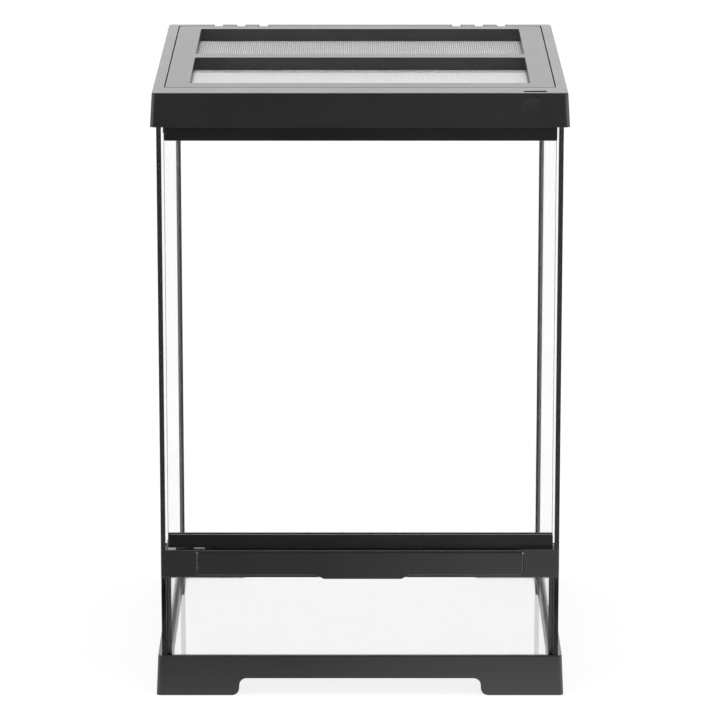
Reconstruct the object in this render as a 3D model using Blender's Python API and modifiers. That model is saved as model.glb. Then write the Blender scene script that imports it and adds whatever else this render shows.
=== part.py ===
"""Front-opening glass terrarium, 300 x 300 x 450 mm: a glued glass tank between two moulded frames,
with a hinged glass door, a latch lever in a vent bar and a mesh lid.

Metres, +Z up, the door faces -Y. The origin is the middle of the floor that the feet stand on.
Depths called "from the front" count in +Y from the front plane of the two frames.
"""

import math

import bmesh
import bpy
import numpy as np
from mathutils import Matrix, Vector

MM = 0.001

# Overall size and the clearances that every piece shares
WIDTH = 300 * MM
DEPTH = 300 * MM
HEIGHT = 450 * MM
DRAFT = 1.4 * MM
FRAME_CORNER = 3.0 * MM
FIT = 0.3 * MM
BOND = 0.05 * MM

# Glass tank
GLASS = 3.5 * MM
GLASS_WIDTH = 291.4 * MM
PANE_FRONT = 3.3 * MM
PANE_REAR = 296.7 * MM
PANE_LOW = 16.3 * MM
PANE_HIGH = 435.2 * MM
FLOOR_GLASS = 4.0 * MM
JOINT = 0.5 * MM
FRONT_BEAD_LEG = 3.6 * MM
REAR_BEAD_LEG = 1.8 * MM
FLOOR_BEAD_LEG = 1.2 * MM
LOWER_PANE_FRONT = 4.9 * MM
LOWER_PANE_HIGH = 94.6 * MM

# Base frame
BASE_HIGH = 30.0 * MM
SKIRT_LOW = 12.9 * MM
FOOT_LENGTH = 61.0 * MM
FOOT_ARC = 5.4 * MM
BASE_WALL = 3.0 * MM
BASE_RAIL = 11.0 * MM
BASE_CORNER = 16.0 * MM
BASE_LEDGE_HIGH = 16.0 * MM
BASE_LEDGE_THICK = 2.8 * MM

# Top frame
TOP_LOW = 425.4 * MM
WELL_HALF = 140.8 * MM
WELL_FRONT = 23.4 * MM
WELL_REAR = 291.5 * MM
WELL_FLOOR = 438.0 * MM
LEDGE_WIDTH = 4.8 * MM
LEDGE_THICK = 2.0 * MM
TOP_WALL = 2.3 * MM
STOP_LIP = (12.8 * MM, 14.8 * MM)
STOP_LIP_START = -128.0 * MM

# Cable inlets in the rear rim
INLET_PLACES = [side * place * MM for side in (-1, 1) for place in (110.0, 92.5, 75.0)]
INLET_WIDTH = 6.0 * MM
INLET_LOW = 440.0 * MM
GATE_FRONT = 294.3 * MM
GATE_THICK = 2.0 * MM

# Lid
LID_HALF = 140.3 * MM
LID_FRONT = 23.9 * MM
LID_REAR = 291.0 * MM
LID_LOW = 438.3 * MM
LID_SKIN = 2.2 * MM
LID_WALL = 2.0 * MM
WINDOW_HALF = 125.0 * MM
WINDOWS = {"front": (39.6 * MM, 150.6 * MM), "rear": (162.0 * MM, 278.9 * MM)}
WINDOW_WALL = 1.8 * MM
WINDOW_DRAFT = 1.0 * MM
MESH_MIDDLE = 440.15 * MM
MESH_THICK = 0.6 * MM
MESH_WIRE = 1.2 * MM
MESH_GAPS = (14, 7)
LID_AXIS_FROM_FRONT = 289.6 * MM
LID_AXIS_HIGH = 448.6 * MM
TONGUE_PLACES = (-45.0 * MM, 45.0 * MM)

# Lid release button
BUTTON_X = 122.65 * MM
BUTTON_HIGH = 442.5 * MM
BUTTON_WIDTH = 11.5 * MM
BUTTON_TALL = 9.2 * MM
BUTTON_GAP = 0.35 * MM
PLATE_LOW = 438.6 * MM
PLATE_HIGH = 440.2 * MM

# Vent bar and latch lever
BAR_FRONT = 0.8 * MM
BAR_REAR = 16.0 * MM
BAR_LOW = 90.4 * MM
BAR_HIGH = 110.9 * MM
BAR_RISE = 0.5 * MM
BAR_WALL = 1.5 * MM
SILL_LOW = 108.7 * MM
LEVER_HALF = 119.0 * MM
LEVER_GAP = 0.7 * MM
LEVER_LOW = 92.3 * MM
LEVER_THICK = 2.2 * MM
LEVER_AXIS_FROM_FRONT = BAR_FRONT + LEVER_THICK / 2
LEVER_AXIS_HIGH = 108.7 * MM
LEVER_HIGH = LEVER_AXIS_HIGH + LEVER_THICK / 2
LEVER_PIN = 1.2 * MM
TAB_X = 1.9 * MM
TAB_LOW = 89.1 * MM
TAB_HALF = 28.4 * MM
TAB_SLOPE = 1.9
CATCH_X = 80.0 * MM
CATCH_REACH = 30.0 * MM
CATCH_LEAF = (105.4 * MM, 106.2 * MM)
CATCH_FRONT = 7.8 * MM
CATCH_REAR = 9.8 * MM

# Door
DOOR_HALF = 141.2 * MM
DOOR_LOW = 111.7 * MM
DOOR_HIGH = 424.6 * MM
PROFILE_FRONT = 5.6 * MM
PROFILE_THICK = 6.6 * MM
PROFILE_TALL = 10.0 * MM
GLASS_SEAT = 5.3 * MM
HINGE_X = -137.6 * MM
HINGE_FROM_FRONT = 8.2 * MM
HINGE_PIN = 3.0 * MM
BUSH_LENGTH = 4.2 * MM
BUSH_RADIUS = 2.4 * MM


def back(distance):
    """World Y of a depth counted from the front plane."""
    return distance - DEPTH / 2


for old in list(bpy.data.objects):
    bpy.data.objects.remove(old, do_unlink=True)

terrarium = bpy.data.collections.new("glass_terrarium")
cutters = bpy.data.collections.new("cutters")
for collection in (terrarium, cutters):
    bpy.context.scene.collection.children.link(collection)


# Materials
def finish(name, colour, roughness, metallic=0.0, alpha=1.0, transmission=0.0):
    material = bpy.data.materials.new(name)
    material.use_nodes = True
    shader = material.node_tree.nodes["Principled BSDF"]
    shader.inputs["Base Color"].default_value = (*colour, 1.0)
    shader.inputs["Roughness"].default_value = roughness
    shader.inputs["Metallic"].default_value = metallic
    shader.inputs["Alpha"].default_value = alpha
    shader.inputs["Transmission Weight"].default_value = transmission
    return material


def black_plastic(name):
    return finish(name + "_plastic", (0.024, 0.025, 0.026), 0.42)


def clear_glass(name):
    return finish(name + "_glass", (0.93, 0.96, 0.95), 0.03, alpha=0.35, transmission=0.9)


def silicone(name):
    return finish(name + "_rubber", (0.012, 0.012, 0.012), 0.35)


def steel(name):
    return finish(name + "_steel", (0.56, 0.57, 0.58), 0.3, metallic=1.0)


def dark_steel(name):
    return finish(name + "_steel", (0.05, 0.05, 0.055), 0.4, metallic=0.6)


def nylon(name):
    return finish(name + "_nylon", (0.80, 0.80, 0.76), 0.4, alpha=0.85)


# Shapes: each is a piece when it is given a material, and otherwise a cutter or something to join on
def from_bmesh(name, shape, material=None):
    bmesh.ops.recalc_face_normals(shape, faces=shape.faces)
    mesh_data = bpy.data.meshes.new(name)
    shape.to_mesh(mesh_data)
    shape.free()
    piece = bpy.data.objects.new(name, mesh_data)
    if material:
        terrarium.objects.link(piece)
        mesh_data.materials.append(material)
    else:
        cutters.objects.link(piece)
        piece.display_type = "WIRE"
        piece.hide_render = True
    return piece


def add_block(shape, low, high, top_inset=0.0):
    """A block between two corners, whose top is drawn in by top_inset on all four sides."""
    low, high = Vector(low), Vector(high)
    middle = (low + high) / 2
    size = high - low
    for vert in bmesh.ops.create_cube(shape, size=1.0)["verts"]:
        upper = vert.co.z > 0
        vert.co = Vector(a * b for a, b in zip(vert.co, size)) + middle
        if upper:
            vert.co.x -= math.copysign(top_inset, vert.co.x - middle.x)
            vert.co.y -= math.copysign(top_inset, vert.co.y - middle.y)


def bevel(shape, edges, offset, segments):
    bmesh.ops.bevel(
        shape,
        geom=edges,
        offset=offset,
        segments=segments,
        profile=0.5,
        affect="EDGES",
        material=-1,
    )


def round_corners(shape, axis, radius, segments=4):
    """Rounds the four edges of a block that run along X, Y or Z, allowing for its draft."""
    along = []
    for edge in shape.edges:
        direction = (edge.verts[1].co - edge.verts[0].co).normalized()
        if abs(direction[axis]) > 0.9:
            along.append(edge)
    bevel(shape, along, radius, segments)


def round_rim(shape, height, radius, segments=2):
    """Rounds the edges that lie level at one height."""
    rim = []
    for edge in shape.edges:
        level = all(abs(vert.co.z - height) < 1e-6 for vert in edge.verts)
        if level and edge.calc_face_angle(0.0) > 0.8:
            rim.append(edge)
    bevel(shape, rim, radius, segments)


def block(name, low, high, material=None, top_inset=0.0, axis=2, corner=0.0, rim=0.0, segments=4):
    shape = bmesh.new()
    add_block(shape, low, high, top_inset)
    if corner:
        round_corners(shape, axis, corner, segments)
    if rim:
        round_rim(shape, high[2], rim)
    return from_bmesh(name, shape, material)


def blocks(name, corners):
    """Several blocks that don't touch, as one shape."""
    shape = bmesh.new()
    for low, high in corners:
        add_block(shape, low, high)
    return from_bmesh(name, shape)


def rod(name, centre, axis, radius, length, material=None, sides=24):
    """A round bar about a centre, along X or Z."""
    turn = Matrix.Rotation(math.pi / 2, 4, "Y") if axis == 0 else Matrix()
    shape = bmesh.new()
    bmesh.ops.create_cone(
        shape,
        cap_ends=True,
        segments=sides,
        radius1=radius,
        radius2=radius,
        depth=length,
        matrix=Matrix.Translation(centre) @ turn,
    )
    return from_bmesh(name, shape, material)


def prism(name, outline, normal, low, high, material=None):
    """A flat outline, drawn as a closed 2D curve, given a thickness along X, Y or Z.

    The outline's points are (Y, Z) for X, (X, Z) for Y and (X, Y) for Z.
    """
    curve = bpy.data.curves.new(name, "CURVE")
    curve.dimensions = "2D"
    curve.fill_mode = "BOTH"
    curve.extrude = (high - low) / 2
    spline = curve.splines.new("POLY")
    spline.points.add(len(outline) - 1)
    for point, (across, up) in zip(spline.points, outline):
        point.co = (across, up, 0.0, 1.0)
    spline.use_cyclic_u = True
    drawn = bpy.data.objects.new(name + "_outline", curve)
    frames = {
        0: Matrix(((0, 0, 1, 0), (1, 0, 0, 0), (0, 1, 0, 0), (0, 0, 0, 1))),
        1: Matrix(((1, 0, 0, 0), (0, 0, 1, 0), (0, 1, 0, 0), (0, 0, 0, 1))),
        2: Matrix(),
    }
    shift = [0.0, 0.0, 0.0]
    shift[normal] = (low + high) / 2
    drawn.matrix_world = Matrix.Translation(shift) @ frames[normal]
    terrarium.objects.link(drawn)
    bpy.context.view_layer.update()
    graph = bpy.context.evaluated_depsgraph_get()
    drawn_mesh = bpy.data.meshes.new_from_object(drawn.evaluated_get(graph))
    drawn_mesh.transform(drawn.matrix_world)
    shape = bmesh.new()
    shape.from_mesh(drawn_mesh)
    bpy.data.objects.remove(drawn, do_unlink=True)
    bpy.data.curves.remove(curve)
    bpy.data.meshes.remove(drawn_mesh)
    bmesh.ops.remove_doubles(shape, verts=shape.verts, dist=1e-7)
    return from_bmesh(name, shape, material)


def arc(centre, radius, start, end, steps=5):
    """Points on an arc, by angles in degrees."""
    angles = np.radians(np.linspace(start, end, steps + 1))
    return [(centre[0] + radius * math.cos(a), centre[1] + radius * math.sin(a)) for a in angles]


def combine(piece, others, operation):
    for other in others:
        modifier = piece.modifiers.new(other.name, "BOOLEAN")
        modifier.operation = operation
        modifier.solver = "EXACT"
        modifier.object = other


def cut(piece, *others):
    combine(piece, others, "DIFFERENCE")


def join(piece, *others):
    combine(piece, others, "UNION")


def trim(piece, *others):
    combine(piece, others, "INTERSECT")


def set_origin(piece, place):
    """Moves a piece's origin onto its joint axis and leaves its shape where it is."""
    place = Vector(place)
    piece.data.transform(Matrix.Translation(-place))
    piece.location = place


def spanning(side, first, second):
    """Low and high X of a span given as distances from the middle, on one side of it."""
    return sorted((side * first, side * second))


# Base frame: an upturned channel on four corner feet, with a ledge inside that the glass stands on
def base_frame():
    half = WIDTH / 2
    inside = half - BASE_RAIL
    seat = GLASS_WIDTH / 2 + FIT
    pane_inside = GLASS_WIDTH / 2 - GLASS - FIT
    frame = block(
        "base_frame",
        (-half, -half, 0.0),
        (half, half, BASE_HIGH),
        black_plastic("base_frame"),
        top_inset=DRAFT,
        corner=FRAME_CORNER,
        rim=0.8 * MM,
    )
    cut(
        frame,
        block("base_opening", (-inside, -inside, -MM), (inside, inside, 40 * MM), corner=3 * MM),
        block(
            "glass_seat",
            (-seat, back(LOWER_PANE_FRONT - FIT), BASE_LEDGE_HIGH),
            (seat, back(PANE_REAR + FIT), BASE_HIGH + MM),
        ),
    )
    ends = []
    for side in (-1, 1):
        x = spanning(side, pane_inside, seat)
        low = (x[0], back(PANE_FRONT - FIT), BASE_LEDGE_HIGH)
        ends.append((low, (x[1], back(LOWER_PANE_FRONT + MM), BASE_HIGH + MM)))
    cut(frame, blocks("side_pane_seats", ends))
    # The channel is open below and solid at its four corners, which are the flats of the feet
    outer = half - BASE_WALL
    inner = inside + BASE_WALL
    end = half - BASE_CORNER
    top = BASE_LEDGE_HIGH - BASE_LEDGE_THICK
    runs = []
    for side in (-1, 1):
        a = spanning(side, inner, outer)
        runs.append(((a[0], -end, -MM), (a[1], end, top)))
        runs.append(((-end, a[0], -MM), (end, a[1], top)))
    cut(frame, blocks("base_channel", runs))
    # Ribs across the channel, two in each leg of a foot
    ribs = []
    for side in (-1, 1):
        a = spanning(side, inner - MM, outer + MM)
        for other in (-1, 1):
            for place in (28.0 * MM, 42.0 * MM):
                b = other * (half - place)
                ribs.append(((a[0], b - 0.8 * MM, MM), (a[1], b + 0.8 * MM, top + MM)))
                ribs.append(((b - 0.8 * MM, a[0], MM), (b + 0.8 * MM, a[1], top + MM)))
    join(frame, blocks("foot_ribs", ribs))
    # The arch between two feet, the same on all four sides
    edge = half - FOOT_LENGTH
    right = [(edge + FOOT_ARC, -MM)]
    right += arc((edge + FOOT_ARC, FOOT_ARC), FOOT_ARC, 270, 180)
    right += arc((edge - FOOT_ARC, SKIRT_LOW - FOOT_ARC), FOOT_ARC, 0, 90)
    left = [(-x, z) for x, z in reversed(right)]
    cut(
        frame,
        prism("arch_front_to_rear", right + left, 1, -half - MM, half + MM),
        prism("arch_side_to_side", right + left, 0, -half - MM, half + MM),
    )


base_frame()


# Glass panes, with a fine bevel ground on every edge
def pane(name, low, high):
    shape = bmesh.new()
    add_block(shape, low, high)
    bevel(shape, shape.edges[:], 0.35 * MM, 1)
    return from_bmesh(name, shape, clear_glass(name))


OUTSIDE = GLASS_WIDTH / 2
INSIDE = OUTSIDE - GLASS
PANE_END = INSIDE - JOINT
FLOOR_FRONT = LOWER_PANE_FRONT + GLASS + JOINT
FLOOR_REAR = PANE_REAR - GLASS - JOINT

for side, hand in ((-1, "left"), (1, "right")):
    x = spanning(side, INSIDE, OUTSIDE)
    pane(f"{hand}_pane", (x[0], back(PANE_FRONT), PANE_LOW), (x[1], back(PANE_REAR), PANE_HIGH))
pane(
    "back_pane",
    (-PANE_END, back(PANE_REAR - GLASS), PANE_LOW),
    (PANE_END, back(PANE_REAR), PANE_HIGH),
)
pane(
    "lower_front_pane",
    (-PANE_END, back(LOWER_PANE_FRONT), PANE_LOW),
    (PANE_END, back(LOWER_PANE_FRONT + GLASS), LOWER_PANE_HIGH),
)
pane(
    "bottom_pane",
    (-PANE_END, back(FLOOR_FRONT), PANE_LOW),
    (PANE_END, back(FLOOR_REAR), PANE_LOW + FLOOR_GLASS),
)


# Silicone: hollow fillets that fill the corners and run into the joints between the panes
def corner_bead(name, side, leg, inner_face, outer_face, low, high):
    """A bead up a vertical corner, between a side pane and the pane whose two faces are given."""
    away = math.copysign(1.0, inner_face - outer_face)
    face = INSIDE - BOND
    tip = PANE_END + BOND
    start = inner_face + away * BOND
    centre = (face - leg, start + away * leg)
    outline = [(face, outer_face), (face, centre[1])]
    outline += arc(centre, leg - 0.4 * MM, 0, -90 * away)
    outline += [(centre[0], start), (tip, start), (tip, outer_face)]
    return prism(name, [(side * x, back(y)) for x, y in outline], 2, low, high, silicone(name))


FLOOR_BEAD_LOW = PANE_LOW + FLOOR_GLASS + BOND
CORNER_BEAD_LOW = FLOOR_BEAD_LOW + FLOOR_BEAD_LEG + BOND

for side, hand in ((-1, "left"), (1, "right")):
    corner_bead(
        f"silicone_rear_{hand}",
        side,
        REAR_BEAD_LEG,
        PANE_REAR - GLASS,
        PANE_REAR,
        CORNER_BEAD_LOW,
        TOP_LOW - BOND,
    )
    corner_bead(
        f"silicone_front_{hand}",
        side,
        FRONT_BEAD_LEG,
        LOWER_PANE_FRONT + GLASS,
        LOWER_PANE_FRONT,
        CORNER_BEAD_LOW,
        BAR_LOW - BOND,
    )


def floor_bead():
    front = back(LOWER_PANE_FRONT + GLASS + BOND)
    rear = back(PANE_REAR - GLASS - BOND)
    side = INSIDE - BOND
    leg = FLOOR_BEAD_LEG
    low, high = FLOOR_BEAD_LOW, FLOOR_BEAD_LOW + leg
    ring = block("silicone_floor", (-side, front, low), (side, rear, high), silicone("silicone_floor"))
    cut(
        ring,
        block(
            "floor_bead_hollow",
            (-side + leg, front + leg, low),
            (side - leg, rear - leg, high),
            top_inset=0.5 * MM - leg,
        ),
        block(
            "floor_bead_middle",
            (-side + leg, front + leg, low - MM),
            (side - leg, rear - leg, high + MM),
        ),
    )


floor_bead()


# Top frame: a ring with a well for the lid, grooves over the panes and a deep front beam
def beam_coring():
    """Two rows of pockets in the beam's underside, with a web between them that carries the stop lip."""
    first, last, count, rib = -131.0 * MM, 110.0 * MM, 4, 1.8 * MM
    pitch = (last - first) / count
    pockets = []
    for number in range(count):
        start = first + number * pitch
        for front, rear in ((3.9 * MM, 12.0 * MM), (15.6 * MM, 21.6 * MM)):
            low = (start, back(front), TOP_LOW - MM)
            pockets.append((low, (start + pitch - rib, back(rear), HEIGHT - TOP_WALL)))
    return blocks("front_beam_coring", pockets)


def inlet_cutters(number, x):
    """A flared notch through the rear rim, and the groove that guides its gate."""
    half = INLET_WIDTH / 2
    flare = 1.1 * MM
    right = [(x + half, INLET_LOW), (x + half, HEIGHT - flare)]
    right += [(x + half + flare, HEIGHT + 0.1 * MM), (x + half + flare, HEIGHT + MM)]
    left = [(2 * x - point, z) for point, z in reversed(right)]
    notch = prism(f"inlet_notch_{number}", right + left, 1, back(WELL_REAR - 2 * MM), back(DEPTH + MM))
    groove = block(
        f"gate_groove_{number}",
        (x - half - 1.6 * MM, back(GATE_FRONT - FIT), INLET_LOW - 0.2 * MM),
        (x + half + 1.6 * MM, back(GATE_FRONT + GATE_THICK + FIT), HEIGHT + MM),
    )
    return notch, groove


def button_cutters():
    half = BUTTON_WIDTH / 2 + BUTTON_GAP
    low = BUTTON_HIGH - BUTTON_TALL / 2 - BUTTON_GAP
    high = BUTTON_HIGH + BUTTON_TALL / 2 + BUTTON_GAP
    window = block(
        "button_window",
        (BUTTON_X - half, back(-MM), low),
        (BUTTON_X + half, back(6 * MM), high),
        axis=1,
        corner=1.2 * MM,
        segments=3,
    )
    housing = block(
        "button_housing",
        (BUTTON_X - 8.6 * MM, back(3.5 * MM), low),
        (BUTTON_X + 11.4 * MM, back(21.2 * MM), high),
    )
    plate_slot = block(
        "release_plate_slot",
        (BUTTON_X - 5.4 * MM, back(20 * MM), WELL_FLOOR),
        (BUTTON_X + 5.4 * MM, back(WELL_FRONT + MM), PLATE_HIGH + 0.4 * MM),
    )
    slot = [(-4.3, 5.6), (10.6, 5.6), (10.6, 10.6), (-6.0, 10.6), (-6.0, 7.4)]
    finger_slot = prism(
        "finger_slot",
        [(BUTTON_X + x * MM, back(y * MM)) for x, y in slot],
        2,
        BUTTON_HIGH,
        HEIGHT + MM,
    )
    return window, housing, plate_slot, finger_slot


def top_frame():
    half = WIDTH / 2
    frame = block(
        "top_frame",
        (-half, -half, TOP_LOW),
        (half, half, HEIGHT),
        black_plastic("top_frame"),
        top_inset=DRAFT,
        corner=FRAME_CORNER,
        rim=0.9 * MM,
    )
    opening = WELL_HALF - LEDGE_WIDTH
    skirt = INSIDE - FIT - 2 * MM
    cut(
        frame,
        block(
            "lid_well",
            (-WELL_HALF, back(WELL_FRONT), WELL_FLOOR),
            (WELL_HALF, back(WELL_REAR), HEIGHT + MM),
            corner=2.2 * MM,
        ),
        block(
            "top_opening",
            (-opening, back(WELL_FRONT + LEDGE_WIDTH), TOP_LOW - MM),
            (opening, back(WELL_REAR - LEDGE_WIDTH), WELL_FLOOR + MM),
            corner=3 * MM,
        ),
        block(
            "under_ledge",
            (-skirt, back(WELL_FRONT + MM), TOP_LOW - MM),
            (skirt, back(PANE_REAR - GLASS - FIT - 2 * MM), WELL_FLOOR - LEDGE_THICK),
            corner=2 * MM,
        ),
    )
    grooves = []
    for side in (-1, 1):
        x = spanning(side, INSIDE - FIT, OUTSIDE + FIT)
        low = (x[0], back(PANE_FRONT - FIT), TOP_LOW - MM)
        grooves.append((low, (x[1], back(PANE_REAR + FIT), PANE_HIGH + FIT)))
    cut(
        frame,
        blocks("side_pane_grooves", grooves),
        block(
            "back_pane_groove",
            (-INSIDE, back(PANE_REAR - GLASS - FIT), TOP_LOW - MM),
            (INSIDE, back(PANE_REAR + FIT), PANE_HIGH + FIT),
        ),
        beam_coring(),
    )
    # The lip behind the top of the door, which stops it in line with the side panes
    join(
        frame,
        block(
            "top_stop_lip",
            (STOP_LIP_START, back(STOP_LIP[0]), 423.0 * MM),
            (INSIDE - FIT - 0.5 * MM, back(STOP_LIP[1]), TOP_LOW + MM),
        ),
    )
    cut(frame, *button_cutters())
    tongue_slots = []
    for x in TONGUE_PLACES:
        low = (x - 8 * MM, back(WELL_REAR - MM), 439.0 * MM)
        tongue_slots.append((low, (x + 8 * MM, back(294.6 * MM), 442.7 * MM)))
    cut(frame, blocks("tongue_slots", tongue_slots))
    for number, x in enumerate(INLET_PLACES, 1):
        cut(frame, *inlet_cutters(number, x))
    socket = (HINGE_X, back(HINGE_FROM_FRONT), TOP_LOW + 4.5 * MM)
    cut(frame, rod("upper_pin_socket", socket, 2, HINGE_PIN / 2 + FIT, 11 * MM))


top_frame()


# Cable gates: a shutter in each notch with a thumb ledge, drawn up to let a lead through
def cable_gate(number, x):
    half = INLET_WIDTH / 2 + 1.3 * MM
    rear = GATE_FRONT + GATE_THICK
    low, high = INLET_LOW + 0.1 * MM, HEIGHT - 1.8 * MM
    name = f"cable_gate_{number}"
    gate = block(name, (x - half, back(GATE_FRONT), low), (x + half, back(rear), high), black_plastic(name))
    join(
        gate,
        block(
            f"gate_ledge_{number}",
            (x - half + 1.7 * MM, back(rear - 0.5 * MM), high - 1.6 * MM),
            (x + half - 1.7 * MM, back(rear + 1.4 * MM), high),
        ),
    )
    set_origin(gate, (x, back(GATE_FRONT + GATE_THICK / 2), low))


for number, x in enumerate(INLET_PLACES, 1):
    cable_gate(number, x)


# Lid: a thin skin with a skirt, and two windows whose tapered walls reach down to the mesh
LID_AXIS = (0.0, back(LID_AXIS_FROM_FRONT), LID_AXIS_HIGH)
WALL_LOW = MESH_MIDDLE + MESH_THICK / 2 + FIT


def window_cut(name, front, rear, low, high):
    return block(
        name,
        (-WINDOW_HALF + WINDOW_DRAFT, back(front + WINDOW_DRAFT), low),
        (WINDOW_HALF - WINDOW_DRAFT, back(rear - WINDOW_DRAFT), high),
        top_inset=-WINDOW_DRAFT,
        corner=1.2 * MM,
        segments=3,
    )


def lid_frame():
    lid = block(
        "lid_frame",
        (-LID_HALF, back(LID_FRONT), LID_LOW),
        (LID_HALF, back(LID_REAR), HEIGHT),
        black_plastic("lid_frame"),
        corner=3 * MM,
        rim=MM,
    )
    cut(
        lid,
        block(
            "lid_underside",
            (-LID_HALF + LID_WALL, back(LID_FRONT + LID_WALL), LID_LOW - MM),
            (LID_HALF - LID_WALL, back(LID_REAR - LID_WALL), HEIGHT - LID_SKIN),
            corner=2 * MM,
        ),
    )
    joined = HEIGHT - LID_SKIN / 2
    for place, (front, rear) in WINDOWS.items():
        join(
            lid,
            block(
                f"{place}_window_wall",
                (-WINDOW_HALF - WINDOW_WALL, back(front - WINDOW_WALL), WALL_LOW),
                (WINDOW_HALF + WINDOW_WALL, back(rear + WINDOW_WALL), joined),
                corner=2.2 * MM,
                segments=3,
            ),
        )
    for place, (front, rear) in WINDOWS.items():
        cut(lid, window_cut(f"{place}_window_opening", front, rear, WALL_LOW - MM, HEIGHT + 0.01 * MM))
    # Tongues that hook the lid under the rear rim, and ribs under the crossbar
    tongues = []
    for x in TONGUE_PLACES:
        low = (x - 7 * MM, back(LID_REAR - 1.5 * MM), 440.3 * MM)
        tongues.append((low, (x + 7 * MM, back(LID_REAR + 3 * MM), 442.3 * MM)))
    front = back(WINDOWS["front"][1] + WINDOW_WALL - 0.5 * MM)
    rear = back(WINDOWS["rear"][0] - WINDOW_WALL + 0.5 * MM)
    ribs = []
    for x in (-90 * MM, -45 * MM, 0.0, 45 * MM, 90 * MM):
        ribs.append(((x - 0.7 * MM, front, 442 * MM), (x + 0.7 * MM, rear, joined)))
    join(lid, blocks("lid_tongues", tongues), blocks("crossbar_ribs", ribs))
    # Openings in the skirt: one for each cable and one for the release plate
    openings = []
    for x in INLET_PLACES:
        half = INLET_WIDTH / 2 + 0.5 * MM
        low = (x - half, back(LID_REAR - LID_WALL - 0.5 * MM), LID_LOW - MM)
        openings.append((low, (x + half, back(LID_REAR + MM), HEIGHT - LID_SKIN)))
    low = (BUTTON_X - 6 * MM, back(LID_FRONT - MM), LID_LOW - MM)
    openings.append((low, (BUTTON_X + 6 * MM, back(LID_FRONT + LID_WALL + 0.5 * MM), PLATE_HIGH + MM)))
    cut(lid, blocks("skirt_openings", openings))
    set_origin(lid, LID_AXIS)


lid_frame()


# The frame welded under the lid, which holds both meshes up against the window walls
def mesh_clamp():
    reach = WINDOW_WALL + 0.6 * MM
    low = LID_LOW - 0.2 * MM
    high = MESH_MIDDLE - MESH_THICK / 2 - FIT
    clamp = block(
        "mesh_clamp_frame",
        (-WINDOW_HALF - reach, back(WINDOWS["front"][0] - reach), low),
        (WINDOW_HALF + reach, back(WINDOWS["rear"][1] + reach), high),
        black_plastic("mesh_clamp_frame"),
        corner=2.4 * MM,
        segments=3,
    )
    for place, (front, rear) in WINDOWS.items():
        cut(clamp, window_cut(f"{place}_clamp_opening", front, rear, low - MM, high + MM))
    set_origin(clamp, LID_AXIS)


mesh_clamp()


# Mesh: a grid whose squares are inset and opened, then given the wire's thickness
def mesh_panel(place, front, rear):
    reach = WINDOW_WALL - 0.2 * MM
    half_x = WINDOW_HALF + reach
    half_y = (rear - front) / 2 + reach
    middle = Vector((0.0, back((front + rear) / 2), MESH_MIDDLE))
    shape = bmesh.new()
    bmesh.ops.create_grid(shape, x_segments=MESH_GAPS[0], y_segments=MESH_GAPS[1], size=1.0)
    for vert in shape.verts:
        vert.co = Vector((vert.co.x * half_x, vert.co.y * half_y, 0.0)) + middle
    squares = shape.faces[:]
    bmesh.ops.inset_individual(shape, faces=squares, thickness=MESH_WIRE / 2, use_even_offset=True)
    bmesh.ops.delete(shape, geom=squares, context="FACES_ONLY")
    panel = from_bmesh(f"{place}_mesh", shape, steel(f"{place}_mesh"))
    wire = panel.modifiers.new("wire_thickness", "SOLIDIFY")
    wire.thickness = MESH_THICK
    wire.offset = 0.0
    set_origin(panel, LID_AXIS)


for place, (front, rear) in WINDOWS.items():
    mesh_panel(place, front, rear)


# Lid catch: a spring clip under the lid's front border, with a barb that hooks under the release plate
def lid_catch():
    front, rear, barb, foot = (back(y * MM) for y in (29.3, 30.7, 32.6, 36.5))
    low, high = 436.3 * MM, HEIGHT - LID_SKIN - FIT
    shelf = PLATE_LOW - FIT
    outline = [(front, low + 0.8 * MM), (front + 0.6 * MM, low), (rear, low), (barb, shelf - 0.4 * MM)]
    outline += [(barb, shelf), (rear, shelf), (rear, high - 1.4 * MM), (foot, high - 1.4 * MM)]
    outline += [(foot, high), (front, high)]
    left, right = BUTTON_X - 4 * MM, BUTTON_X + 4 * MM
    set_origin(prism("lid_catch", outline, 0, left, right, black_plastic("lid_catch")), LID_AXIS)


lid_catch()


# Release button: a cap with a flange that keeps it in, and a slotted plate that reaches under the lid
def lid_button():
    face = DRAFT * (BUTTON_HIGH - TOP_LOW) / (HEIGHT - TOP_LOW) + 0.1 * MM
    low, high = BUTTON_HIGH - BUTTON_TALL / 2, BUTTON_HIGH + BUTTON_TALL / 2
    button = block(
        "lid_button",
        (BUTTON_X - BUTTON_WIDTH / 2, back(face), low),
        (BUTTON_X + BUTTON_WIDTH / 2, back(5.0 * MM), high),
        black_plastic("lid_button"),
        axis=1,
        corner=MM,
        segments=3,
    )
    join(
        button,
        block(
            "button_flange",
            (BUTTON_X - 7.4 * MM, back(3.9 * MM), low + 0.8 * MM),
            (BUTTON_X + 7.4 * MM, back(5.2 * MM), high - 0.8 * MM),
        ),
        block(
            "release_plate",
            (BUTTON_X - 5 * MM, back(4.5 * MM), PLATE_LOW),
            (BUTTON_X + 5 * MM, back(34.2 * MM), PLATE_HIGH),
        ),
    )
    cut(
        button,
        block(
            "catch_window",
            (BUTTON_X - 4.4 * MM, back(24.8 * MM), PLATE_LOW - MM),
            (BUTTON_X + 4.4 * MM, back(31.7 * MM), PLATE_HIGH + MM),
        ),
    )
    set_origin(button, (BUTTON_X, back(face), BUTTON_HIGH))


lid_button()


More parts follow.
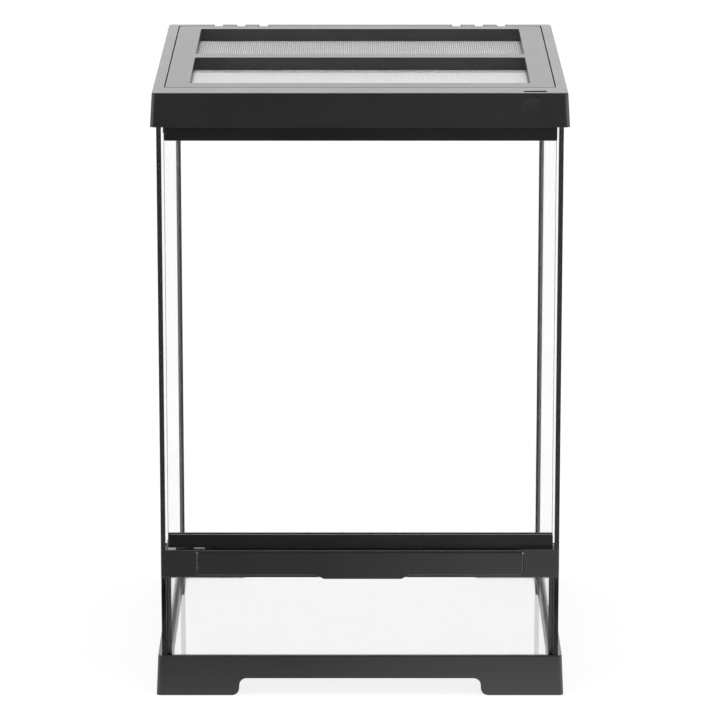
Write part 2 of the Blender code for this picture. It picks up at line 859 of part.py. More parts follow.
# Coil spring behind the button, as one unbroken helix of wire
def button_spring():
    start = Vector((BUTTON_X, back(5.8 * MM), 443.9 * MM))
    end = Vector((BUTTON_X, back(20.6 * MM), 443.9 * MM))
    radius, wire, turns, steps = 2.2 * MM, 0.6 * MM, 6, 10
    curve = bpy.data.curves.new("lid_button_spring", "CURVE")
    curve.dimensions = "3D"
    curve.bevel_depth = wire / 2
    curve.bevel_resolution = 1
    curve.use_fill_caps = True
    spline = curve.splines.new("POLY")
    spline.points.add(turns * steps)
    places = []
    for number, point in enumerate(spline.points):
        turn = 2 * math.pi * number / steps
        place = start.lerp(end, number / (turns * steps))
        place += radius * Vector((math.cos(turn), 0.0, math.sin(turn)))
        point.co = (*place, 1.0)
        places.append(place)
    least = min((b - a).length for a, b in zip(places, places[steps:])) - wire
    print(f"lid_button_spring: least gap between turns {least / MM:.2f} mm")
    spring = bpy.data.objects.new("lid_button_spring", curve)
    terrarium.objects.link(spring)
    curve.materials.append(steel("lid_button_spring"))


button_spring()


# Vent bar: a channel between the side panes, with the door's sill, the latch and the air vents
def vent_bar():
    half = INSIDE - FIT
    window = LEVER_HALF + LEVER_GAP
    floor = BAR_LOW + BAR_WALL
    high = BAR_HIGH + BAR_RISE
    left, right = -127 * MM, 133 * MM
    bar = block(
        "vent_bar",
        (-half, back(BAR_FRONT + MM), BAR_LOW),
        (half, back(BAR_REAR), high),
        black_plastic("vent_bar"),
    )
    join(
        bar,
        block(
            "bar_face",
            (-OUTSIDE, back(BAR_FRONT), BAR_LOW),
            (OUTSIDE, back(PANE_FRONT - FIT), high),
            corner=0.8 * MM,
            segments=2,
        ),
    )
    # The sill is level up to its right end, where it rises under the free corner of the closed door
    level = [(-OUTSIDE - MM, BAR_HIGH), (112 * MM, BAR_HIGH), (121.5 * MM, high)]
    level += [(121.5 * MM, high + MM), (-OUTSIDE - MM, high + MM)]
    # The notch that the lever's tab hangs through follows the tab's slanted ends
    notch = []
    for z in (BAR_LOW - MM, floor + MM):
        wide = TAB_HALF + (z - TAB_LOW) * TAB_SLOPE + 0.75 * MM
        notch.append((TAB_X + wide, z))
    notch += [(2 * TAB_X - x, z) for x, z in reversed(notch)]
    cut(
        bar,
        prism("sill_level", level, 1, back(BAR_FRONT - MM), back(BAR_REAR + MM)),
        block("bar_channel", (left, back(3.4 * MM), floor), (right, back(BAR_REAR - 2 * MM), SILL_LOW)),
        block(
            "lever_window",
            (-window, back(BAR_FRONT - MM), floor),
            (window, back(4.6 * MM), LEVER_HIGH + FIT),
            axis=1,
            corner=MM,
            segments=2,
        ),
        prism("tab_notch", notch, 1, back(BAR_FRONT - MM), back(3.6 * MM)),
    )
    # Rail over the lower pane, bosses that clamp the two catches, and the lip that the door stops on
    bosses = []
    for side in (-1, 1):
        x = spanning(side, CATCH_X - CATCH_REACH - 3 * MM, CATCH_X - CATCH_REACH + 5 * MM)
        low = (x[0], back(7.0 * MM), CATCH_LEAF[1] + FIT)
        bosses.append((low, (x[1], back(10.6 * MM), SILL_LOW + 0.5 * MM)))
    join(
        bar,
        block(
            "lower_pane_rail",
            (left - MM, back(3.8 * MM), floor - 0.5 * MM),
            (right + MM, back(10.0 * MM), LOWER_PANE_HIGH + FIT + BAR_WALL),
        ),
        blocks("bar_bosses", bosses),
        block(
            "sill_stop_lip",
            (STOP_LIP_START, back(STOP_LIP[0]), BAR_HIGH - MM),
            (half - 0.5 * MM, back(STOP_LIP[1]), 114.5 * MM),
        ),
    )
    cut(
        bar,
        block(
            "lower_pane_groove",
            (-half - MM, back(LOWER_PANE_FRONT - FIT), BAR_LOW - MM),
            (half + MM, back(LOWER_PANE_FRONT + GLASS + FIT), LOWER_PANE_HIGH + FIT),
        ),
    )
    for side, hand in ((-1, "left"), (1, "right")):
        place = (side * (window + 0.7 * MM), back(LEVER_AXIS_FROM_FRONT), LEVER_AXIS_HIGH)
        cut(bar, rod(f"pin_bearing_{hand}", place, 0, LEVER_PIN / 2 + 0.1 * MM, 3.4 * MM))
    # Air vents through the rear wall, and the slots that the catches stand up through
    count, pitch = 26, 9.8 * MM
    slots = []
    for number in range(count):
        x = (number - (count - 1) / 2) * pitch + 3 * MM
        low = (x - 1.1 * MM, back(BAR_REAR - 3 * MM), 97.5 * MM)
        slots.append((low, (x + 1.1 * MM, back(BAR_REAR + MM), 106.5 * MM)))
    for x in (-CATCH_X, CATCH_X):
        low = (x - 3.6 * MM, back(7.2 * MM), SILL_LOW - MM)
        slots.append((low, (x + 3.6 * MM, back(10.4 * MM), BAR_HIGH + MM)))
    socket = (HINGE_X, back(HINGE_FROM_FRONT), BAR_HIGH - 5 * MM)
    cut(
        bar,
        blocks("bar_slots", slots),
        rod("lower_pin_socket", socket, 2, HINGE_PIN / 2 + FIT, 12 * MM),
    )


vent_bar()


# Latch lever: the long front plate, which tilts out about two end pins when its tab is pulled
def latch_lever():
    front = back(BAR_FRONT)
    rear = back(BAR_FRONT + LEVER_THICK)
    axis_y = back(LEVER_AXIS_FROM_FRONT)
    # Its top edge is a half round about the axis, so it turns in place under the strip of the bar
    section = [(rear, LEVER_LOW)]
    section += arc((axis_y, LEVER_AXIS_HIGH), LEVER_THICK / 2, 0, 180, 8)
    section += [(front, LEVER_LOW)]
    reach = LEVER_HALF + MM
    lever = prism("latch_lever", section, 0, -reach, reach, black_plastic("latch_lever"))
    trim(
        lever,
        block(
            "lever_corners",
            (-LEVER_HALF, front - MM, LEVER_LOW),
            (LEVER_HALF, rear + MM, LEVER_HIGH + FIT),
            axis=1,
            corner=2.0 * MM,
        ),
    )
    joined = LEVER_LOW + 0.3 * MM
    wide = TAB_HALF + (joined - TAB_LOW) * TAB_SLOPE
    tab = [(TAB_X + TAB_HALF, TAB_LOW), (TAB_X + wide, joined), (TAB_X + wide, LEVER_LOW + 2 * MM)]
    tab += [(2 * TAB_X - x, z) for x, z in reversed(tab)]
    join(lever, prism("latch_tab", tab, 1, front, rear))
    # Arms that press the catches down, and a stiffening rib along the back
    joined = rear - 0.4 * MM
    backs = [((-105 * MM, joined, 99.0 * MM), (105 * MM, back(5.2 * MM), 100.4 * MM))]
    for side in (-1, 1):
        x = spanning(side, CATCH_X - 11 * MM, CATCH_X - 5 * MM)
        backs.append(((x[0], joined, CATCH_LEAF[1] + FIT), (x[1], back(10.6 * MM), 108.2 * MM)))
    join(lever, blocks("lever_back", backs))
    for side, hand in ((-1, "left"), (1, "right")):
        place = (side * LEVER_HALF, axis_y, LEVER_AXIS_HIGH)
        cut(lever, rod(f"lever_pin_hole_{hand}", place, 0, LEVER_PIN / 2 + 0.1 * MM, 12 * MM, sides=16))
    set_origin(lever, (0.0, axis_y, LEVER_AXIS_HIGH))
    for side, hand in ((-1, "left"), (1, "right")):
        place = (side * (LEVER_HALF - 1.6 * MM), axis_y, LEVER_AXIS_HIGH)
        name = f"latch_pin_{hand}"
        rod(name, place, 0, LEVER_PIN / 2, 8.2 * MM, steel(name), sides=16)


latch_lever()


# Door catches: spring leaves under the sill, each with a nose that stands up into the door's keeper
def door_catch(hand, side):
    low, high = CATCH_LEAF
    nose = 3.0 * MM
    name = f"door_catch_{hand}"
    x = spanning(side, CATCH_X - CATCH_REACH - 2 * MM, CATCH_X + nose)
    catch = block(name, (x[0], back(CATCH_FRONT), low), (x[1], back(CATCH_REAR), high), dark_steel(name))
    front, rear = back(CATCH_FRONT), back(CATCH_REAR)
    tip = 113.3 * MM
    outline = [(front, low + 0.4 * MM), (rear, low + 0.4 * MM), (rear, tip)]
    outline += [(front + MM, tip), (front, tip - 1.1 * MM)]
    x = spanning(side, CATCH_X - nose, CATCH_X + nose)
    join(catch, prism(f"catch_nose_{hand}", outline, 0, *x))


door_catch("left", -1)
door_catch("right", 1)


# Hinge: two steel pins, a seat plate under the door's pivot and a pad that the closed door rests on
def hinge_fittings():
    y = back(HINGE_FROM_FRONT)
    radius = HINGE_PIN / 2
    rod("lower_hinge_pin", (HINGE_X, y, 108 * MM), 2, radius, 15 * MM, steel("lower_hinge_pin"))
    rod("upper_hinge_pin", (HINGE_X, y, 427.6 * MM), 2, radius, 14 * MM, steel("upper_hinge_pin"))
    low, high = BAR_HIGH + 0.1 * MM, DOOR_LOW - 0.1 * MM
    seat = block(
        "hinge_seat",
        (HINGE_X - 2.9 * MM, back(2.2 * MM), low),
        (HINGE_X + 2.9 * MM, back(12.4 * MM), high),
        nylon("hinge_seat"),
        corner=0.8 * MM,
        segments=2,
    )
    cut(seat, rod("hinge_seat_hole", (HINGE_X, y, BAR_HIGH), 2, radius + 0.2 * MM, 6 * MM))
    block(
        "door_rest_pad",
        (-121.6 * MM, back(5.4 * MM), low),
        (-113.4 * MM, back(12.0 * MM), high),
        nylon("door_rest_pad"),
        corner=0.8 * MM,
        segments=2,
    )


hinge_fittings()


# Door: a sheet of glass in a bottom and a top profile, each rounded at the hinge end
def door_profile(name, low, glass_above, bush_span):
    front = back(PROFILE_FRONT)
    rear = front + PROFILE_THICK
    radius = PROFILE_THICK / 2
    outline = arc((-DOOR_HALF + radius, front + radius), radius, 90, 270, 10)
    outline += arc((DOOR_HALF - MM, front + MM), MM, -90, 0, 3)
    outline += arc((DOOR_HALF - MM, rear - MM), MM, 0, 90, 3)
    high = low + PROFILE_TALL
    groove = (high - GLASS_SEAT, high + MM) if glass_above else (low - MM, low + GLASS_SEAT)
    middle = PROFILE_FRONT + radius
    profile = prism(name, outline, 2, low - MM, high + MM, black_plastic(name))
    trim(
        profile,
        block(
            f"{name}_end",
            (-DOOR_HALF - 5 * MM, front - MM, low),
            (DOOR_HALF, rear + MM, high),
            axis=1,
            corner=1.2 * MM,
            segments=3,
        ),
    )
    cut(
        profile,
        block(
            f"{name}_groove",
            (-DOOR_HALF - MM, back(middle - GLASS / 2 - FIT), groove[0]),
            (DOOR_HALF + MM, back(middle + GLASS / 2 + FIT), groove[1]),
        ),
        rod(
            f"{name}_bush_hole",
            (HINGE_X, back(HINGE_FROM_FRONT), sum(bush_span) / 2),
            2,
            BUSH_RADIUS + BOND,
            bush_span[1] - bush_span[0],
        ),
    )
    return profile


def hinge_bush(name, low):
    centre = (HINGE_X, back(HINGE_FROM_FRONT), low + BUSH_LENGTH / 2)
    bush = rod(name, centre, 2, BUSH_RADIUS, BUSH_LENGTH, nylon(name))
    cut(bush, rod(f"{name}_bore", centre, 2, HINGE_PIN / 2 + 0.1 * MM, 3 * BUSH_LENGTH))
    return bush


def door():
    top_low = DOOR_HIGH - PROFILE_TALL
    bush_low = DOOR_LOW + 0.1 * MM
    bush_high = DOOR_HIGH - 0.1 * MM - BUSH_LENGTH
    low_span = (DOOR_LOW - MM, bush_low + BUSH_LENGTH + 0.1 * MM)
    bottom = door_profile("door_bottom_profile", DOOR_LOW, True, low_span)
    top = door_profile("door_top_profile", top_low, False, (bush_high - 0.1 * MM, DOOR_HIGH + MM))
    keepers = []
    for x in (-CATCH_X, CATCH_X):
        low = (x - 4.2 * MM, back(CATCH_FRONT - 0.5 * MM), DOOR_LOW - MM)
        keepers.append((low, (x + 4.2 * MM, back(CATCH_REAR + MM), DOOR_LOW + 2.6 * MM)))
    cut(bottom, blocks("door_keepers", keepers))
    middle = PROFILE_FRONT + PROFILE_THICK / 2
    glass = pane(
        "door_glass",
        (-DOOR_HALF + 0.6 * MM, back(middle - GLASS / 2), DOOR_LOW + PROFILE_TALL - GLASS_SEAT + FIT),
        (DOOR_HALF - 0.4 * MM, back(middle + GLASS / 2), top_low + GLASS_SEAT - FIT),
    )
    bushes = [hinge_bush("lower_hinge_bush", bush_low), hinge_bush("upper_hinge_bush", bush_high)]
    for piece in (bottom, top, glass, *bushes):
        set_origin(piece, (HINGE_X, back(HINGE_FROM_FRONT), 0.0))


door()


for piece in terrarium.objects:
    if piece.type == "MESH":
        piece.data.shade_smooth()
        piece.data.set_sharp_from_angle(angle=math.radians(30))
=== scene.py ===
import math

import bmesh
import bpy
from mathutils import Matrix, Vector


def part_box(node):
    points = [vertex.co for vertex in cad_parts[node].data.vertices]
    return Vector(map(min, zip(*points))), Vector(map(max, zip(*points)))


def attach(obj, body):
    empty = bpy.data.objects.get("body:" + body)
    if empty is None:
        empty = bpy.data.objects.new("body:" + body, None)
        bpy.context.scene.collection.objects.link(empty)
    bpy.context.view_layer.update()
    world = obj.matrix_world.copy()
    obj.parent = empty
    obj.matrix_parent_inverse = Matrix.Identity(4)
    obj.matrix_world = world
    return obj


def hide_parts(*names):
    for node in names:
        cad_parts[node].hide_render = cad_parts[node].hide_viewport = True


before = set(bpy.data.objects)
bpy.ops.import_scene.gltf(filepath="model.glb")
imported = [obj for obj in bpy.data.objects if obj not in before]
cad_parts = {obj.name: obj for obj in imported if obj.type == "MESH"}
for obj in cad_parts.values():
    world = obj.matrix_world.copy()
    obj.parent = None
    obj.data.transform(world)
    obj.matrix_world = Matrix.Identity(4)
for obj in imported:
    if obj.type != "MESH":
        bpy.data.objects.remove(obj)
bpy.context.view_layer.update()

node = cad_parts
MM = 0.001


# Base frame
# One black moulding on four corner feet. It came off a spark-eroded mould, so its faces have a very
# fine grain and a satin sheen, and its edges carry the small radius of the mould.
class Value:
    """One output of a shader node. Arithmetic on it adds Math nodes."""

    def __init__(self, nodes, socket):
        self.nodes = nodes
        self.socket = socket

    def math(self, operation, *others):
        return self.nodes.add("ShaderNodeMath", {"operation": operation}, [self, *others])

    def __add__(self, other):
        return self.math("ADD", other)

    def __radd__(self, other):
        return self.math("ADD", other)

    def __sub__(self, other):
        return self.math("SUBTRACT", other)

    def __rsub__(self, other):
        return self.nodes.add("ShaderNodeMath", {"operation": "SUBTRACT"}, [other, self])

    def __mul__(self, other):
        return self.math("MULTIPLY", other)

    def __rmul__(self, other):
        return self.math("MULTIPLY", other)


class Nodes:
    """A node tree, of a finish or of the room, and the nodes that are added to it."""

    def __init__(self, tree):
        self.tree = tree

    def link(self, socket, value):
        if isinstance(value, Value):
            self.tree.links.new(value.socket, socket)
        else:
            socket.default_value = value

    def add(self, kind, settings=None, inputs=(), output=0):
        """A node with its settings, then the values or links of its sockets, by name or in order."""
        made = self.tree.nodes.new(kind)
        for setting, value in (settings or {}).items():
            setattr(made, setting, value)
        pairs = inputs.items() if isinstance(inputs, dict) else enumerate(inputs)
        for socket, value in pairs:
            self.link(made.inputs[socket], value)
        return Value(self, made.outputs[output])

    def axes(self, vector):
        """The three parts of a vector, each as a value."""
        split = self.add("ShaderNodeSeparateXYZ", inputs=[vector])
        return [Value(self, socket) for socket in split.socket.node.outputs]

    def ramp(self, value, low, high):
        """The value as it runs from low to high, brought to 0 to 1 with a soft start and end."""
        settings = {"interpolation_type": "SMOOTHSTEP"}
        ends = {"Value": value, "From Min": low, "From Max": high}
        return self.add("ShaderNodeMapRange", settings, ends)

    def blend(self, share, first, second):
        """A colour between two colours, of which the first may vary itself."""
        start = first if isinstance(first, Value) else (*first, 1.0)
        sockets = {0: share, 6: start, 7: (*second, 1.0)}
        return self.add("ShaderNodeMix", {"data_type": "RGBA"}, sockets, output=2)

    def rays(self, *kinds):
        """1 for rays of the given kinds, and 0 for all others."""
        paths = self.tree.nodes.new("ShaderNodeLightPath")
        found, *others = (Value(self, paths.outputs[f"Is {kind} Ray"]) for kind in kinds)
        for other in others:
            found = found.math("MAXIMUM", other)
        return found


class Finish(Nodes):
    """The nodes of one finish, which start from a Principled shader and the object's own place."""

    def __init__(self, name, **constants):
        self.material = bpy.data.materials.new(name)
        self.material.use_nodes = True
        super().__init__(self.material.node_tree)
        self.shader = self.tree.nodes["Principled BSDF"]
        self.place = self.add("ShaderNodeTexCoord", output="Object")
        for socket, value in constants.items():
            self.set(socket.replace("_", " "), value)

    def set(self, socket, value):
        self.link(self.shader.inputs[socket], value)

    def noise(self, scale, detail, place=None, roughness=0.5):
        where = {"Vector": place or self.place, "Scale": scale, "Detail": detail, "Roughness": roughness}
        return self.add("ShaderNodeTexNoise", inputs=where)

    def streaks(self, across, axis, along, detail):
        """Noise of one scale, drawn out to another scale along one axis."""
        scale = [across, across, across]
        scale[axis] = along
        place = self.add("ShaderNodeMapping", inputs={"Vector": self.place, "Scale": scale})
        return self.noise(1.0, detail, place)

    def bump(self, height, distance, strength, normal=None):
        inputs = {"Strength": strength, "Distance": distance, "Height": height}
        if normal:
            inputs["Normal"] = normal
        self.set("Normal", self.add("ShaderNodeBump", inputs=inputs))


def moulded_black(name, edge=0.35 * MM, sheen=0.36, gloss=0.5, tone=0.004, edge_highlight=0.04):
    """Black moulded plastic with a fine eroded grain, faint flow clouds and softened edges, along which
    a paler highlight is painted into the colour.
    """
    finish = Finish(name, Specular_IOR_Level=gloss)
    cloud = finish.noise(26.0, 4.0)
    grain = finish.noise(2300.0, 2.0, roughness=0.6)
    deep = (tone, 1.02 * tone, 1.12 * tone)
    pale = (1.45 * tone, 1.48 * tone, 1.6 * tone)
    body = finish.blend(finish.ramp(cloud, 0.3, 0.7), deep, pale)
    # Where the softened normal turns away from the face, an edge is near, and there a paler painted
    # highlight is blended into the colour
    softened = finish.add("ShaderNodeBevel", {"samples": 4}, {"Radius": edge})
    face = finish.add("ShaderNodeNewGeometry", output="True Normal")
    dot = {"operation": "DOT_PRODUCT"}
    facing = finish.add("ShaderNodeVectorMath", dot, [softened, face], output="Value")
    edge_highlight_share = finish.ramp(1.0 - facing, 0.03, 0.16)
    finish.set("Base Color", finish.blend(edge_highlight_share, body, (edge_highlight, edge_highlight, 1.03 * edge_highlight)))
    finish.set("Roughness", sheen - 0.03 + 0.05 * cloud + 0.05 * grain)
    finish.bump(grain, 0.012 * MM, 0.7, softened)
    return finish.material


def dress(name, material):
    """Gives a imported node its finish."""
    node[name].data.materials.clear()
    node[name].data.materials.append(material)


dress("base_frame", moulded_black("base_frame_moulded_black"))


# Glass panes
# Five sheets of float glass with ground edges, glued edge to edge. Near its edges the glass looks deep
# grey because the dark frames are mirrored inside it, so that shade is painted into the colour of a
# narrow band round each sheet.
EDGE_BAND = 0.45 * MM
CLEAR_GLASS = (0.996, 0.999, 0.998)
PAINTED_DARK_EDGE = (0.028, 0.031, 0.031)


def float_glass(name, sides):
    """Glass with a painted dark band along its edges, which lie off the middle on the two given axes."""
    low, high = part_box(name)
    middle, half = (low + high) / 2, (high - low) / 2
    tint = (0.22, 0.22, 0.22, 1.0)
    finish = Finish(name + "_float_glass", Transmission_Weight=1.0, IOR=1.5, Specular_Tint=tint)
    place = finish.axes(finish.place)
    bands = []
    for axis in sides:
        off = (place[axis] - middle[axis]).math("ABSOLUTE")
        bands.append(finish.ramp(off, half[axis] - EDGE_BAND, half[axis] - 0.5 * EDGE_BAND))
    edge = bands[0].math("MAXIMUM", bands[1])
    ground = finish.noise(900.0, 2.0)
    # The dark band is painted shade and reflection of the frames; the same band is also rougher, where
    # the edges are ground
    finish.set("Base Color", finish.blend(edge, CLEAR_GLASS, PAINTED_DARK_EDGE))
    finish.set("Roughness", 0.002 + (0.16 + 0.12 * ground) * edge)
    return finish.material


dress("bottom_pane", float_glass("bottom_pane", (0, 1)))
for name in ("left_pane", "right_pane"):
    dress(name, float_glass(name, (1, 2)))
for name in ("back_pane", "lower_front_pane"):
    dress(name, float_glass(name, (0, 2)))


# Silicone beads
# Black sealant run into the corners and drawn off with a rounded tool, which leaves long faint
# ripples along each bead.
def black_sealant(name, along):
    finish = Finish(name + "_black_sealant", Specular_IOR_Level=0.45)
    ripple = finish.streaks(520.0, along, 34.0, 3.0)
    dust = finish.noise(900.0, 2.0)
    finish.set("Base Color", finish.blend(ripple, (0.006, 0.006, 0.0065), (0.014, 0.014, 0.0145)))
    finish.set("Roughness", 0.26 + 0.12 * ripple + 0.05 * dust)
    finish.bump(ripple, 0.12 * MM, 0.5)
    return finish.material


dress("silicone_floor", black_sealant("silicone_floor", 1))
for hand in ("left", "right"):
    for end in ("front", "rear"):
        name = f"silicone_{end}_{hand}"
        dress(name, black_sealant(name, 2))


# Top frame and its cable gates
# A second moulding that caps the panes and holds the lid. The six gates are small mouldings of the
# same plastic, a touch glossier because they come off a polished mould.
dress("top_frame", moulded_black("top_frame_moulded_black"))
for number in range(1, 7):
    name = f"cable_gate_{number}"
    dress(name, moulded_black(name + "_moulded_black", edge=0.2 * MM, sheen=0.34))


# Lid
# A frame of the same black plastic with two windows, and a clamp frame welded under it.
for name in ("lid_frame", "mesh_clamp_frame", "lid_catch"):
    dress(name, moulded_black(name + "_moulded_black", sheen=0.385, tone=0.016))


# Lid meshes
# Plain-woven stainless wire, 0.3 mm thick at a pitch of 1.6 mm. Each wire is a four-sided tube that
# passes over one crossing and under the next, and its neighbour does the opposite.
WIRE_RADIUS = 0.15 * MM
WAVE = 0.14 * MM
PITCH = 1.6 * MM
MESH_MARGIN = 0.2 * MM


def woven_wires(shape, along, across, low, high, phase):
    """Lays wires that run along one axis, side by side across the other, between two corners."""
    crossings = round((high[along] - low[along]) / PITCH)
    wires = round((high[across] - low[across]) / PITCH)
    run = Vector((0.0, 0.0, 0.0))
    run[along] = (high[along] - low[along]) / crossings
    side = Vector((0.0, 0.0, 0.0))
    side[across] = (high[across] - low[across]) / wires
    turn = Matrix.Rotation(math.pi / 2, 3, "Y" if along == 0 else "X")
    pair = []
    for wire in (0, 1):
        start = low + (wire + 0.5) * side
        ring = bmesh.ops.create_circle(shape, cap_ends=True, segments=4, radius=WIRE_RADIUS)["verts"]
        up = 1.0 if (wire + phase) % 2 else -1.0
        bmesh.ops.rotate(shape, verts=ring, matrix=turn)
        bmesh.ops.translate(shape, verts=ring, vec=start + Vector((0.0, 0.0, up * WAVE)))
        pair += ring
        front = list({edge for vert in ring for edge in vert.link_edges})
        for _ in range(crossings):
            grown = bmesh.ops.extrude_edge_only(shape, edges=front)["geom"]
            ring = [item for item in grown if isinstance(item, bmesh.types.BMVert)]
            front = [item for item in grown if isinstance(item, bmesh.types.BMEdge)]
            up = -up
            bmesh.ops.translate(shape, verts=ring, vec=run + Vector((0.0, 0.0, 2 * up * WAVE)))
            pair += ring
        bmesh.ops.contextual_create(shape, geom=front)
    pair_set = set(pair)
    faces = [face for face in shape.faces if face.verts[0] in pair_set]
    geometry = pair + list({edge for face in faces for edge in face.edges}) + faces
    for copy in range(1, wires // 2):
        made = bmesh.ops.duplicate(shape, geom=geometry)["geom"]
        verts = [item for item in made if isinstance(item, bmesh.types.BMVert)]
        bmesh.ops.translate(shape, verts=verts, vec=2 * copy * side)


def woven_mesh(place):
    name = f"{place}_mesh"
    low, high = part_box(name)
    middle = (low.z + high.z) / 2
    low = Vector((low.x + MESH_MARGIN, low.y + MESH_MARGIN, middle))
    high = Vector((high.x - MESH_MARGIN, high.y - MESH_MARGIN, middle))
    shape = bmesh.new()
    woven_wires(shape, 0, 1, low, high, 0)
    woven_wires(shape, 1, 0, low, high, 1)
    bmesh.ops.recalc_face_normals(shape, faces=shape.faces)
    cloth = bpy.data.meshes.new(f"woven_{name}")
    shape.to_mesh(cloth)
    shape.free()
    cloth.shade_smooth()
    piece = bpy.data.objects.new(f"woven_{name}", cloth)
    bpy.context.scene.collection.objects.link(piece)
    finish = Finish(f"{name}_stainless_wire", Metallic=1.0)
    patch = finish.noise(60.0, 3.0)
    drawn = finish.noise(1500.0, 2.0)
    finish.set("Base Color", finish.blend(patch, (0.60, 0.61, 0.61), (0.71, 0.72, 0.72)))
    finish.set("Roughness", 0.30 + 0.15 * drawn)
    cloth.materials.append(finish.material)
    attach(piece, "lid")
    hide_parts(name)


woven_mesh("front")
woven_mesh("rear")


# Lid release button
# A push button moulded in one with its release plate, on a coil spring of stainless wire.
def drawn_steel(name, along):
    """Bright stainless steel with fine lines left by drawing along one axis."""
    finish = Finish(name + "_bright_steel", Metallic=1.0)
    lines = finish.streaks(4200.0, along, 260.0, 2.0)
    finish.set("Base Color", finish.blend(lines, (0.56, 0.57, 0.58), (0.6832, 0.6954, 0.7076)))
    finish.set("Roughness", 0.20 + 0.12 * lines)
    finish.bump(lines, 0.01 * MM, 0.5)
    return finish.material


dress("lid_button", moulded_black("lid_button_moulded_black", edge=0.2 * MM))
dress("lid_button_spring", drawn_steel("lid_button_spring", 1))


# Vent bar
# A long channel moulding between the side panes, with the air vents in its rear wall.
# Its edges get a paler painted highlight.
dress("vent_bar", moulded_black("vent_bar_moulded_black", edge=0.45 * MM, edge_highlight=0.12))


# Latch lever, its pins and the two spring leaves
# The lever is the smooth front plate. It turns on two steel pins, and the leaves are punched from
# spring strip that is blackened in an oxide bath.
def blackened_steel(name):
    finish = Finish(name + "_blackened_steel", Metallic=1.0)
    cloud = finish.noise(180.0, 3.0)
    finish.set("Base Color", finish.blend(cloud, (0.028, 0.029, 0.032), (0.055, 0.056, 0.060)))
    finish.set("Roughness", 0.38 + 0.14 * cloud)
    return finish.material


# The lever's edges get a strong painted highlight.
lever_black = moulded_black("latch_lever_moulded_black", edge=0.5 * MM, sheen=0.34, edge_highlight=0.26)
dress("latch_lever", lever_black)
for hand in ("left", "right"):
    dress(f"latch_pin_{hand}", drawn_steel(f"latch_pin_{hand}", 0))
    dress(f"door_catch_{hand}", blackened_steel(f"door_catch_{hand}"))


# Hinge pins, seat, rest pad and bushes
# Two steel pins run in nylon bushes. The seat under the pivot and the pad under the door are the
# same natural nylon, which is milky and lets light through.
def natural_nylon(name):
    finish = Finish(name + "_natural_nylon", Transmission_Weight=0.55, IOR=1.53)
    cloud = finish.noise(300.0, 3.0)
    finish.set("Base Color", finish.blend(cloud, (0.62, 0.63, 0.61), (0.78, 0.79, 0.76)))
    finish.set("Roughness", 0.34 + 0.14 * cloud)
    return finish.material


for end in ("lower", "upper"):
    dress(f"{end}_hinge_pin", drawn_steel(f"{end}_hinge_pin", 2))
    dress(f"{end}_hinge_bush", natural_nylon(f"{end}_hinge_bush"))
dress("hinge_seat", natural_nylon("hinge_seat"))
dress("door_rest_pad", natural_nylon("door_rest_pad"))


# Door
# A sheet of float glass pushed into an extruded profile at its foot and another at its head.
dress("door_glass", float_glass("door_glass", (0, 2)))
for name in ("door_bottom_profile", "door_top_profile"):
    # The profiles' edges get a strong painted highlight.
    black = moulded_black(name + "_extruded_black", edge=0.5 * MM, sheen=0.3, gloss=0.22, edge_highlight=0.3)
    dress(name, black)


# Studio
# A white floor that runs on behind the object, a white room, and soft lamps: one low behind the
# object that gleams on its level faces, one overhead that draws its edges, and two at each side.
FLOOR_REACH = 6.0
FLOOR_GAP = 0.2 * MM
FLOOR_GLOW = 0.82


def soft_reflections(nodes):
    """1 for rays off a satin face, and 0 for those off glass, which mirror, and for all others."""
    return nodes.rays("Glossy") * (1.0 - nodes.rays("Singular"))


def studio_floor():
    shape = bmesh.new()
    bmesh.ops.create_grid(shape, x_segments=1, y_segments=1, size=FLOOR_REACH)
    mesh = bpy.data.meshes.new("studio_floor")
    shape.to_mesh(mesh)
    shape.free()
    floor = bpy.data.objects.new("studio_floor", mesh)
    floor.location.z = -FLOOR_GAP
    bpy.context.scene.collection.objects.link(floor)
    finish = Finish("studio_floor_white", Roughness=0.9)
    paper = finish.noise(40.0, 3.0)
    finish.set("Base Color", finish.blend(paper, (0.94, 0.94, 0.94), (0.96, 0.96, 0.96)))
    # In satin faces the floor is brighter on the right than on the left, and dimmer farther in front
    x, y, _ = finish.axes(finish.place)
    forward = -1.0 * y
    close = finish.ramp(forward, 0.15, 0.32)
    near = finish.ramp(forward, 0.24, 0.6)
    far = finish.ramp(forward, 0.6, 2.5)
    left = 1.5 - 1.0 * close - 0.45 * near
    right = 2.1 - 0.6 * close - 0.5 * near - 0.1 * far
    shade = left + (right - left) * finish.ramp(x, -0.08, 0.12)
    colour = 1.0 + (shade - 1.0) * finish.ramp(forward, 0.0, 0.12) * soft_reflections(finish)
    glow = finish.add("ShaderNodeEmission", inputs={"Color": colour, "Strength": 1.0})
    share = FLOOR_GLOW * finish.rays("Camera", "Glossy", "Transmission")
    paper_shader = Value(finish, finish.shader.outputs[0])
    mixed = finish.add("ShaderNodeMixShader", inputs=[share, paper_shader, glow])
    finish.link(finish.tree.nodes["Material Output"].inputs["Surface"], mixed)
    mesh.materials.append(finish.material)


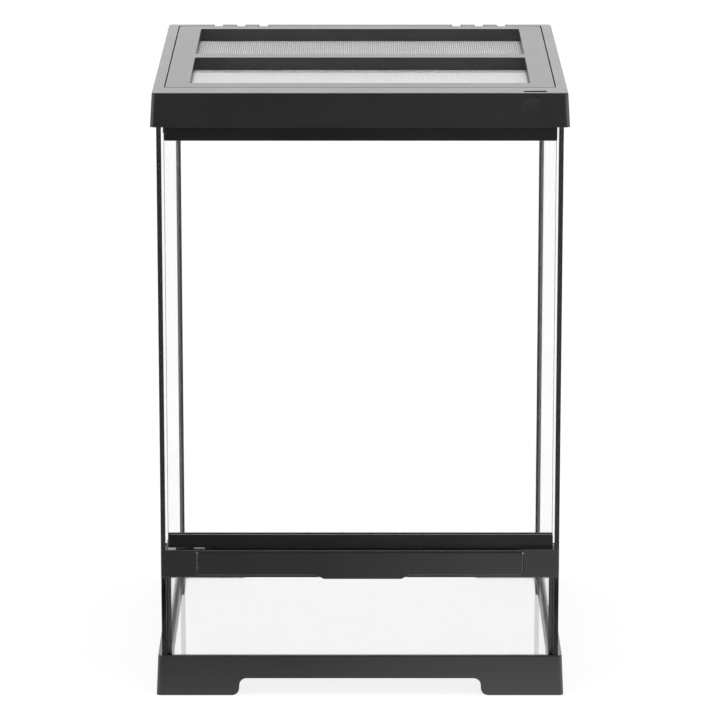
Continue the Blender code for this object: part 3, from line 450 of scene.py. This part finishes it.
def studio_room():
    world = bpy.data.worlds.new("studio_room")
    world.use_nodes = True
    bpy.context.scene.world = world
    room = Nodes(world.node_tree)
    back = room.tree.nodes["Background"]
    # In satin faces the wall behind the camera is dark
    _, y, _ = room.axes(room.add("ShaderNodeTexCoord", output="Generated"))
    front = room.ramp(-1.0 * y, 0.3, 0.8) * soft_reflections(room)
    room.link(back.inputs["Color"], room.blend(front, (1.0, 1.0, 1.0), (0.12, 0.12, 0.12)))
    room.link(back.inputs["Strength"], 0.85 + 0.15 * room.rays("Camera", "Glossy", "Transmission"))


def studio_lamp(name, place, aim, size, power):
    """A soft box of a given width and height, which lights and gleams but isn't seen itself."""
    light = bpy.data.lights.new(name, "AREA")
    light.shape = "RECTANGLE"
    light.size, light.size_y = size
    light.energy = power
    lamp = bpy.data.objects.new(name, light)
    lamp.location = place
    lamp.rotation_euler = (Vector(aim) - Vector(place)).to_track_quat("-Z", "Y").to_euler()
    lamp.visible_camera = False
    lamp.visible_transmission = False
    bpy.context.scene.collection.objects.link(lamp)


studio_floor()
studio_room()
studio_lamp("rear_lamp", (0.0, 4.2, 1.55), (0.0, 0.0, 0.45), (3.4, 1.9), 30.0)
studio_lamp("top_lamp", (0.0, -0.5, 2.8), (0.0, 0.0, 0.3), (2.4, 1.0), 32.0)
studio_lamp("left_lamp", (-2.6, -1.5, 0.55), (0.0, 0.0, 0.3), (3.0, 1.1), 32.0)
studio_lamp("right_lamp", (2.6, -1.5, 0.55), (0.0, 0.0, 0.3), (3.0, 1.1), 35.0)
studio_lamp("key_lamp", (1.9, -1.6, 1.9), (0.0, 0.0, 0.25), (1.2, 1.2), 10.0)
studio_lamp("fill_lamp", (-2.0, -0.8, 1.6), (0.0, 0.0, 0.25), (1.4, 1.4), 5.0)


# Camera
# It stands 3.02 m in front of the door and 1 m above the floor, and looks down by 13.92 degrees.
FRAME_WIDTH = 720
FOCUS = 4310.0
LOOK_DOWN = math.radians(13.92)

view = bpy.data.cameras.new("camera")
view.sensor_width = 36.0
view.lens = FOCUS / FRAME_WIDTH * view.sensor_width
view.clip_end = 50.0
camera = bpy.data.objects.new("camera", view)
camera.location = (0.0, -3.174, 1.004)
camera.rotation_euler = (math.pi / 2 - LOOK_DOWN, 0.0, 0.0)
bpy.context.scene.collection.objects.link(camera)
bpy.context.scene.camera = camera
bpy.context.scene.view_settings.view_transform = "Standard"
